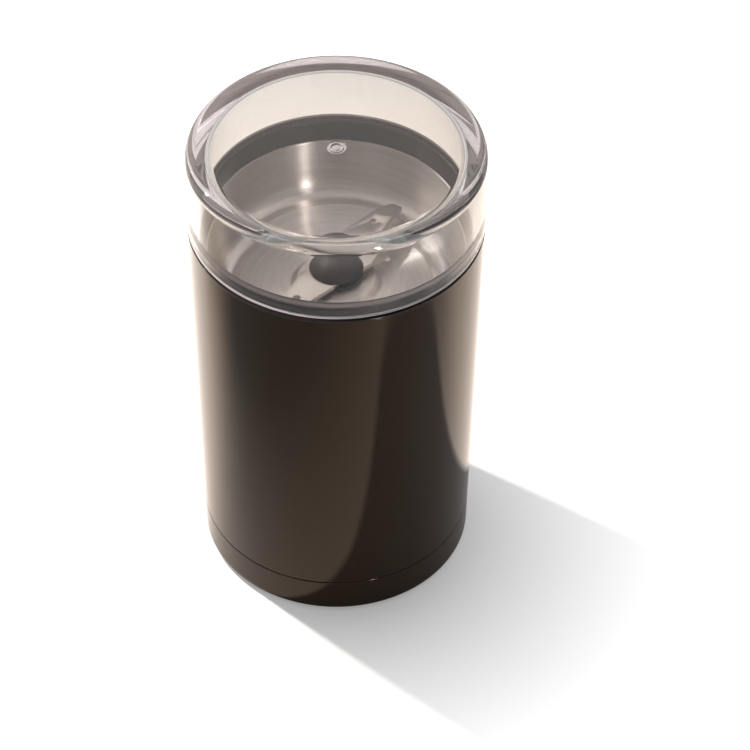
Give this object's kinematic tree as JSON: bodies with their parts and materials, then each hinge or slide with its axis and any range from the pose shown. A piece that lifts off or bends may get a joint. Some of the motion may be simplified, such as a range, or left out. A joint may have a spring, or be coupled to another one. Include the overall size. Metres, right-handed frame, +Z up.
{
  "type": "electric spice grinder",
  "caption": "Upright electric spice grinder: clear press-to-run lid over a steel bowl with a two-winged blade, dark tapered body, universal motor and lid-operated switch inside.",
  "frame": {"origin": "centre of the footprint on the surface it stands on", "axes": "+Z up along the motor's axis; -Y is the front, +Y the side of the cord's outlet; +X is the side of the switch"},
  "size_m": [0.09, 0.09, 0.1582],
  "materials": {
    "clear_plastic": "clear, polished",
    "charcoal_plastic": "satin",
    "body_finish": "satin dark brown",
    "bowl_steel": "circular brushed",
    "blade_steel": "ground",
    "hub_plastic": "satin",
    "white_plastic": "moulded",
    "black_plastic": "moulded",
    "phenolic": "moulded",
    "black_rubber": "matt",
    "screw_steel": "zinc plated",
    "shaft_steel": "ground",
    "lamination_steel": "stacked laminations",
    "copper": "enamelled winding",
    "bar_copper": "turned",
    "brass": "drawn",
    "bronze": "sintered",
    "carbon": "carbon",
    "cast_alloy": "die cast",
    "red_plastic": "moulded",
    "yellow_plastic": "moulded case",
    "brown_insulation": "insulation",
    "black_insulation": "insulation",
    "blue_insulation": "insulation",
    "red_insulation": "insulation"
  },
  "bodies": {
    "housing": {"collar": "charcoal_plastic", "bowl": "bowl_steel", "bowl_gasket": "black_rubber", "shaft_seal": "black_rubber", "body_shell": "body_finish", "base_cover": "body_finish", "rubber_feet": "black_rubber", "base_screws": "screw_steel", "cord_gland": "black_rubber", "chassis": "white_plastic", "air_baffle": "white_plastic", "stator_core": "lamination_steel", "field_coils": "copper", "upper_bridge": "cast_alloy", "lower_bridge": "phenolic", "upper_bearing": "bronze", "lower_bearing": "bronze", "motor_screws": "screw_steel", "motor_grommets": "black_rubber", "mount_screws": "screw_steel", "brush_tubes": "brass", "brush_caps": "black_plastic", "brush_spring_left": "screw_steel", "brush_spring_right": "screw_steel", "rod_springs": "screw_steel", "switch_body": "black_plastic", "switch_terminals": "brass", "switch_bracket": "cast_alloy", "switch_screws": "screw_steel", "bracket_screws": "screw_steel", "terminal_block": "white_plastic", "terminal_screws": "screw_steel", "suppression_capacitor": "yellow_plastic", "lead_live": "brown_insulation", "lead_switched": "black_insulation", "lead_neutral": "blue_insulation", "brush_leads": "red_insulation"},
    "rotor": {"blade": "blade_steel", "blade_carrier": "hub_plastic", "hub_cap": "hub_plastic", "hub_nut": "brass", "motor_shaft": "shaft_steel", "armature_core": "lamination_steel", "armature_windings": "copper", "commutator": "bar_copper", "cooling_fan": "black_plastic", "thrust_washers": "white_plastic"},
    "push_rod_right": {"push_rod_right": "white_plastic", "rod_clip_right": "screw_steel", "switch_finger": "white_plastic"},
    "push_rod_left": {"push_rod_left": "white_plastic", "rod_clip_left": "screw_steel"},
    "switch_plunger": {"switch_plunger": "red_plastic"},
    "brush_left": {"brush_left": "carbon"},
    "brush_right": {"brush_right": "carbon"},
    "lid": {"lid": "clear_plastic"}
  },
  "joints": [
    {"name": "rotor_spin", "type": "hinge", "parent": "housing", "child": "rotor", "pos_m": [0, 0, 0.07], "axis": [0, 0, 1], "continuous": true},
    {"name": "rod_right_press", "type": "slide", "parent": "housing", "child": "push_rod_right", "axis": [0, 0, 1], "range_m": [-0.0008, 0], "stiffness_N_per_m": 2000, "springref_m": 0.002, "deforming": ["rod_springs"]},
    {"name": "rod_left_press", "type": "slide", "parent": "housing", "child": "push_rod_left", "axis": [0, 0, 1], "range_m": [-0.0008, 0]},
    {"name": "plunger_press", "type": "slide", "parent": "housing", "child": "switch_plunger", "axis": [0, 0, 1], "range_m": [-0.0008, 0]},
    {"name": "lid_lift", "type": "slide", "parent": "push_rod_right", "child": "lid", "axis": [0, 0, 1], "range_m": [0, 0.06]},
    {"name": "brush_right_slide", "type": "slide", "parent": "housing", "child": "brush_right", "axis": [1, 0, 0], "range_m": [0, 0.003], "stiffness_N_per_m": 150, "springref_m": -0.004, "deforming": ["brush_spring_right"]},
    {"name": "brush_left_slide", "type": "slide", "parent": "housing", "child": "brush_left", "axis": [-1, 0, 0], "range_m": [0, 0.003], "stiffness_N_per_m": 150, "springref_m": -0.004, "deforming": ["brush_spring_left"]}
  ],
  "couplings": [
    {"joint": "rod_left_press", "follows": "rod_right_press", "ratio": 1},
    {"joint": "plunger_press", "follows": "rod_right_press", "ratio": 1}
  ]
}
